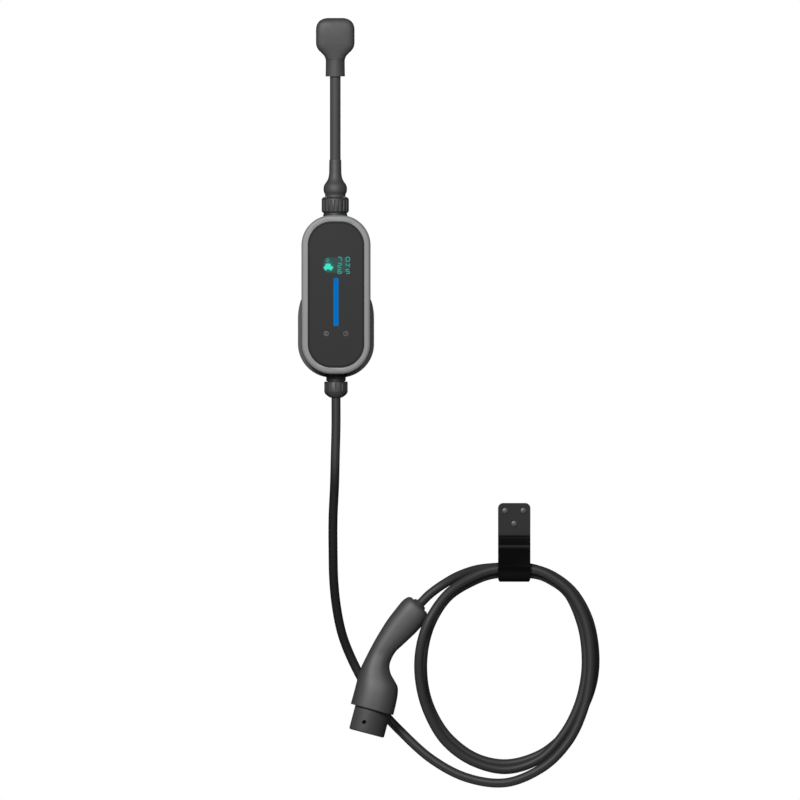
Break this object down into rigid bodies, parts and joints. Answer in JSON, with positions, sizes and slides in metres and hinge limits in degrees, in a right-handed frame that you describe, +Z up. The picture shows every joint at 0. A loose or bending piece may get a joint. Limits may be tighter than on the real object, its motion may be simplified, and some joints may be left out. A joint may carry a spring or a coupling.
{
  "type": "electric car charger",
  "caption": "Portable car charger hung on a wall: control box in a cradle, short mains lead with angled plug, and a charging cable looped over a hook with a vehicle connector at its end.",
  "frame": {"origin": "middle of the wall cradle's back face, which lies on the wall", "axes": "+Z up, +Y into the wall, +X to the right as seen from the front; the control box, hook and loops stand off the wall towards -Y"},
  "size_m": [0.41, 0.1141, 1.0459],
  "materials": {
    "black_plastic": "fine-grained moulded",
    "soft_black": "matt, slightly soft",
    "cable_sheath": "smooth satin sheath",
    "silver_plastic": "silver, fine metallic grain",
    "dark_panel": "satin dark grey front panel",
    "light_guide": "lit blue",
    "display": "lit teal field",
    "touch_field": "pale key foot",
    "circuit_board": "lacquered board",
    "component_body": "moulded electronic part",
    "terminal_green": "moulded terminal block",
    "contact_brass": "plated contact",
    "screw_steel": "zinc-plated screw",
    "hook_black": "dark moulded hook",
    "core_insulation": "wire insulation"
  },
  "bodies": {
    "root": {"wall_cradle": "black_plastic", "cradle_screws": "screw_steel", "rear_housing": "black_plastic", "housing_gasket": "soft_black", "front_bezel": "silver_plastic", "front_panel": "dark_panel", "light_guide": "light_guide", "display_module": "display", "touch_pads": "touch_field", "front_board": "circuit_board", "main_board": "circuit_board", "relays": "component_body", "current_sensor": "component_body", "supply_transformer": "component_body", "filter_capacitors": "component_body", "terminal_blocks": "terminal_green", "board_screws": "screw_steel", "housing_screws": "screw_steel", "inlet_socket": "soft_black", "inlet_seal": "soft_black", "inlet_locknut": "black_plastic", "inlet_pins": "contact_brass", "coupling_nut": "black_plastic", "lead_sleeve": "soft_black", "outlet_gland_body": "black_plastic", "outlet_seal": "soft_black", "outlet_locknut": "black_plastic", "outlet_cap_nut": "black_plastic", "cable_cores": "core_insulation", "mains_cable": "cable_sheath", "plug_body": "soft_black", "plug_face": "black_plastic", "plug_pins": "screw_steel", "plug_earth_clips": "contact_brass", "charging_cable": "cable_sheath", "handle_shell_front": "black_plastic", "handle_shell_rear": "black_plastic", "handle_screws": "screw_steel", "connector_nose": "black_plastic", "nose_seal": "soft_black", "contact_carrier": "black_plastic", "earth_tower": "black_plastic", "line_towers": "black_plastic", "spare_towers": "black_plastic", "signal_towers": "black_plastic", "power_contacts": "contact_brass", "signal_contacts": "contact_brass", "cable_clamp": "black_plastic", "cable_grommet": "soft_black", "cable_hook": "hook_black", "hook_screws": "screw_steel"}
  },
  "joints": []
}
